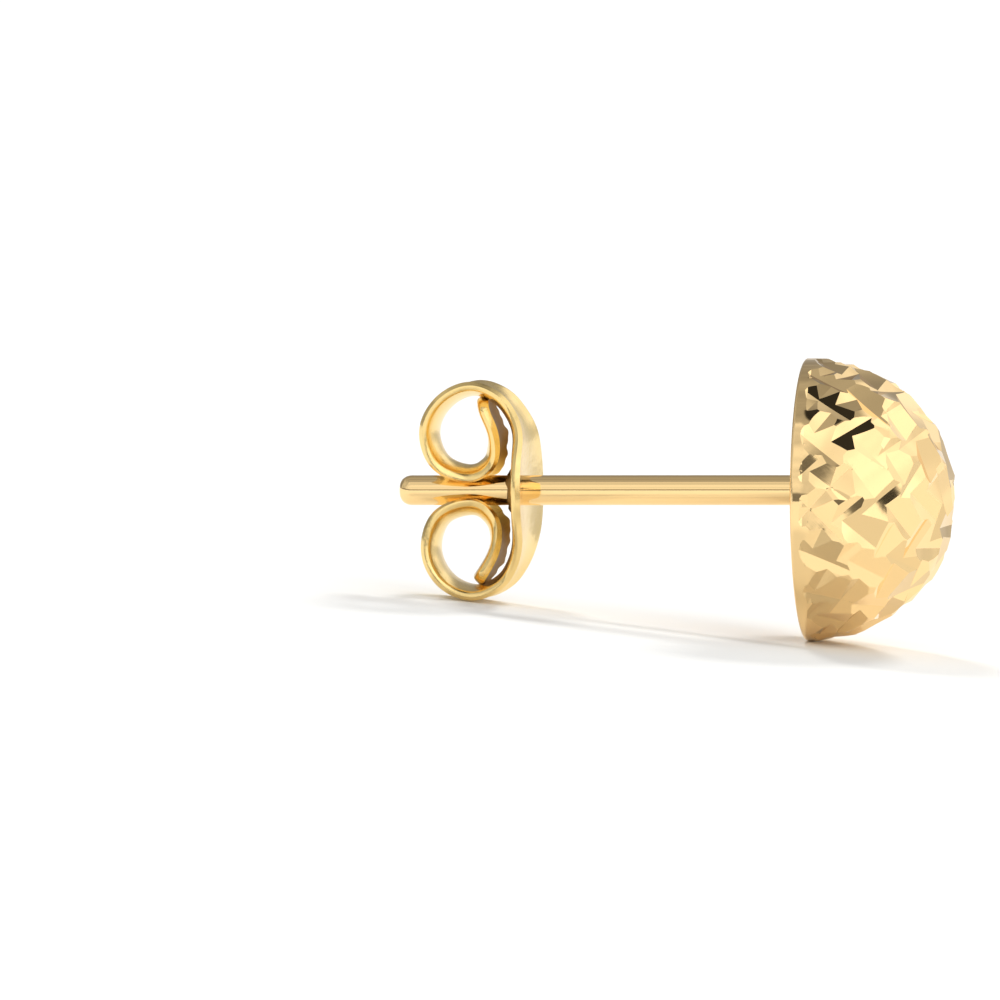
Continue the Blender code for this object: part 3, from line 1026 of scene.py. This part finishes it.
# %% [markdown]
# Camera
#
# Jewellery is photographed from far off with a long lens, so that nothing looks bent. The camera
# stands a little to the ball's side and a little above the post, and it is rolled with the earring,
# which puts the post level in the picture. Its distance comes from how many pixels a millimetre
# takes: the lens fixes how far away it is in pixels.

# %% Camera
PHOTO_WIDTH = 1000
PIXELS_PER_MM = 40.14
DISTANCE_PIXELS = 7700
AZIMUTH = 9.14
ELEVATION = 2.2
TARGET = (-7.685, 0.0, -0.244)
SENSOR_WIDTH = 36.0
NEAREST = 0.001

azimuth, elevation = math.radians(AZIMUTH), math.radians(ELEVATION)
level_back = Vector((math.sin(azimuth), -math.cos(azimuth), 0.0))
back = math.cos(elevation) * level_back + Vector((0.0, 0.0, math.sin(elevation)))
right = Vector((1.0, 0.0, 0.0)) - back.x * back
right.normalize()
facing_camera = Matrix((right, back.cross(right), back)).transposed()
eye = Vector(TARGET) + back * DISTANCE_PIXELS / PIXELS_PER_MM

camera_data = bpy.data.cameras.new("camera")
camera_data.sensor_width = SENSOR_WIDTH
camera_data.lens = SENSOR_WIDTH * DISTANCE_PIXELS / PHOTO_WIDTH
camera_data.clip_start = NEAREST
camera = bpy.data.objects.new("camera", camera_data)
bpy.context.scene.collection.objects.link(camera)
camera.matrix_world = Matrix.Translation(to_world @ (eye * MM)) @ (tipped @ facing_camera).to_4x4()
bpy.context.scene.camera = camera
print("camera height over the table in mm:", round(camera.matrix_world.translation.z / MM, 2))

# %% [markdown]
# Table
#
# The table is a sheet of matt white card, wide enough to reach the horizon in every mirror image.
# Being matt, it gives each facet that looks down the same calm tone.

# %% Table
TABLE_HALF = 2.0
TABLE_WHITE = "#f4f4f2"
TABLE_ROUGHNESS = 0.9

corners = TABLE_HALF * np.array([(-1, -1, 0), (1, -1, 0), (1, 1, 0), (-1, 1, 0)])
table_mesh = bpy.data.meshes.new("table")
table_mesh.from_pydata(corners.tolist(), [], [(0, 1, 2, 3)])
table = bpy.data.objects.new("table", table_mesh)
bpy.context.scene.collection.objects.link(table)
pale = bpy.data.materials.new("matt_white_card")
pale.use_nodes = True
pale.node_tree.nodes["Principled BSDF"].inputs["Base Color"].default_value = linear(TABLE_WHITE)
pale.node_tree.nodes["Principled BSDF"].inputs["Roughness"].default_value = TABLE_ROUGHNESS
table_mesh.materials.append(pale)
print("table:", 2 * TABLE_HALF, "m wide")

# %% [markdown]
# A tent of cloth
#
# Polished gold shows nothing but its surroundings, so the light is drawn as what surrounds it: a
# tent of white cloth. The world's background is that tent. It starts as one even brightness, and
# every lamp behind the cloth and every card in front of it is a round patch with a soft edge, laid
# over what is there already.

# %% A tent of cloth
ROOM = 0.6
LIGHT_PATCHES = (
    # direction x, y, z over the table, half angle, soft edge in degrees, brightness
    (0.0, -1.0, 0.15, 30, 30, 0.9),       # the cloth round the camera
    (-0.1, 0.15, 1.0, 25, 20, 0.43),      # the shaded top
    (0.75, -0.55, 0.4, 40, 8, 1.4),       # the main lamp, front right
    (0.65, 0.45, 0.6, 26, 12, 1.2),       # a lamp behind on the right
    (0.9, 0.35, 0.15, 24, 8, 1.05),       # its glow low on the right
    (-0.35, 0.85, 0.6, 22, 10, 0.34),     # shaded cloth behind on the left
    (0.02, -0.2, 0.98, 12, 2, 0.03),      # a black card overhead
    (-0.32, -0.5, 0.8, 9, 2, 0.85),       # a gap of light beside it
    (0.05, 1.0, 0.05, 13, 6, 0.85),       # the lit cloth straight behind
    (-0.75, 0.5, 0.2, 20, 8, 0.3),        # shaded cloth low on the left
    (0.75, -0.72, 0.38, 3, 1.5, 0.05),    # small black cards for single dark facets
    (0.2, -0.95, 0.3, 6, 2, 0.06),
    (0.45, -0.88, 0.12, 4, 2, 0.06),
)

world = bpy.data.worlds.new("studio")
bpy.context.scene.world = world
world.use_nodes = True
tree = world.node_tree
direction = add_node(tree, "ShaderNodeTexCoord").outputs["Generated"]


def lay_over(below, mask, brightness):
    """Brightness so far, with a new brightness laid over it where the mask is 1."""
    mix = add_node(tree, "ShaderNodeMix", {"data_type": "FLOAT"},
                   {"B": brightness}, {"Factor": mask, "A": below})
    return mix.outputs["Result"]


room = add_node(tree, "ShaderNodeValue")
room.outputs[0].default_value = ROOM
light = room.outputs[0]
for x, y, z, half, edge, brightness in LIGHT_PATCHES:
    dot = add_node(tree, "ShaderNodeVectorMath", {"operation": "DOT_PRODUCT"},
                   {1: Vector((x, y, z)).normalized()}, {0: direction})
    outer, inner = math.cos(math.radians(half + edge)), math.cos(math.radians(half))
    ramp = add_node(tree, "ShaderNodeMapRange", SMOOTH, {"From Min": outer, "From Max": inner},
                    {"Value": dot.outputs["Value"]})
    light = lay_over(light, ramp.outputs["Result"], brightness)
print("patches of light:", len(LIGHT_PATCHES))

# %% [markdown]
# The gap at the tent's front
#
# The cloth ends just above the table at the front, where the lens looks in. That dark gap is the
# thin dark line along the middle of the post. It is a mask on the direction's height, times one that
# keeps it to the front.

# %% The gap at the tent's front
GAP_HEIGHT = 0.02
GAP_HALF = 0.09
GAP_BRIGHTNESS = 0.2
GAP_EDGES = (1.3, 0.8)
GAP_FRONT = (0.2, -0.4)

split = add_node(tree, "ShaderNodeSeparateXYZ", (), (), {"Vector": direction})
above = add_node(tree, "ShaderNodeMath", {"operation": "SUBTRACT"}, {1: GAP_HEIGHT}, {0: split.outputs["Z"]})
off = add_node(tree, "ShaderNodeMath", {"operation": "ABSOLUTE"}, (), {0: above.outputs[0]})
near = add_node(tree, "ShaderNodeMapRange", SMOOTH,
                {"From Min": GAP_EDGES[0] * GAP_HALF, "From Max": GAP_EDGES[1] * GAP_HALF},
                {"Value": off.outputs[0]})
front = add_node(tree, "ShaderNodeMapRange", SMOOTH, {"From Min": GAP_FRONT[0], "From Max": GAP_FRONT[1]},
                 {"Value": split.outputs["Y"]})
both = add_node(tree, "ShaderNodeMath", {"operation": "MULTIPLY"}, (),
                {0: near.outputs["Result"], 1: front.outputs["Result"]})
light = lay_over(light, both.outputs[0], GAP_BRIGHTNESS)
print("the gap ends", round(math.degrees(math.asin(GAP_HEIGHT + GAP_HALF)), 1), "degrees above the table")

# %% [markdown]
# Folds in the cloth
#
# Cloth is never lit quite evenly. A soft noise over the directions makes its brightness rise and
# fall a little, so two facets that look almost the same way still differ. Where the camera itself
# looks past the earring, the background is plain white, as in a picture of a thing for sale.

# %% Folds in the cloth
FOLD_SIZE = 0.18
FOLD_DETAIL = 2.0
FOLD_SHADE = 0.16
FOLD_RANGE = (0.3, 0.7)
BACKGROUND_WHITE = 1.05

folds = add_node(tree, "ShaderNodeTexNoise", (), {"Scale": 1 / FOLD_SIZE, "Detail": FOLD_DETAIL},
                 {"Vector": direction})
shade = add_node(tree, "ShaderNodeMapRange", SMOOTH, {
    "From Min": FOLD_RANGE[0], "From Max": FOLD_RANGE[1],
    "To Min": 1 - FOLD_SHADE, "To Max": 1 + FOLD_SHADE,
}, {"Value": folds.outputs["Fac"]})
folded = add_node(tree, "ShaderNodeMath", {"operation": "MULTIPLY"}, (),
                  {0: light, 1: shade.outputs["Result"]})
path = add_node(tree, "ShaderNodeLightPath")
light = lay_over(folded.outputs[0], path.outputs["Is Camera Ray"], BACKGROUND_WHITE)
background = tree.nodes["Background"]
background.inputs["Color"].default_value = (1, 1, 1, 1)
tree.links.new(light, background.inputs["Strength"])
bpy.context.scene.view_settings.view_transform = "Standard"
print("nodes in the tent:", len(tree.nodes))

# %% [markdown]
# Lamps for the table
#
# Two soft lamps from behind lift the table to the white of the background and lay the earring's
# shadow in front of it. They don't show in mirror images, because in the gold they would be two
# hard spots that a tent doesn't have.

# %% Lamps for the table
TABLE_LAMPS = (
    # direction x, y, z over the table, angle in degrees, strength
    (0.15, 0.85, 0.6, 12, 1.6),
    (-0.45, 0.7, 0.9, 12, 0.95),
)
for x, y, z, angle, strength in TABLE_LAMPS:
    lamp_data = bpy.data.lights.new("table_lamp", "SUN")
    lamp_data.angle = math.radians(angle)
    lamp_data.energy = strength
    lamp = bpy.data.objects.new("table_lamp", lamp_data)
    lamp.rotation_euler = (-Vector((x, y, z))).to_track_quat("-Z", "Y").to_euler()
    lamp.visible_glossy = False
    bpy.context.scene.collection.objects.link(lamp)
print("lamps for the table:", len(TABLE_LAMPS))
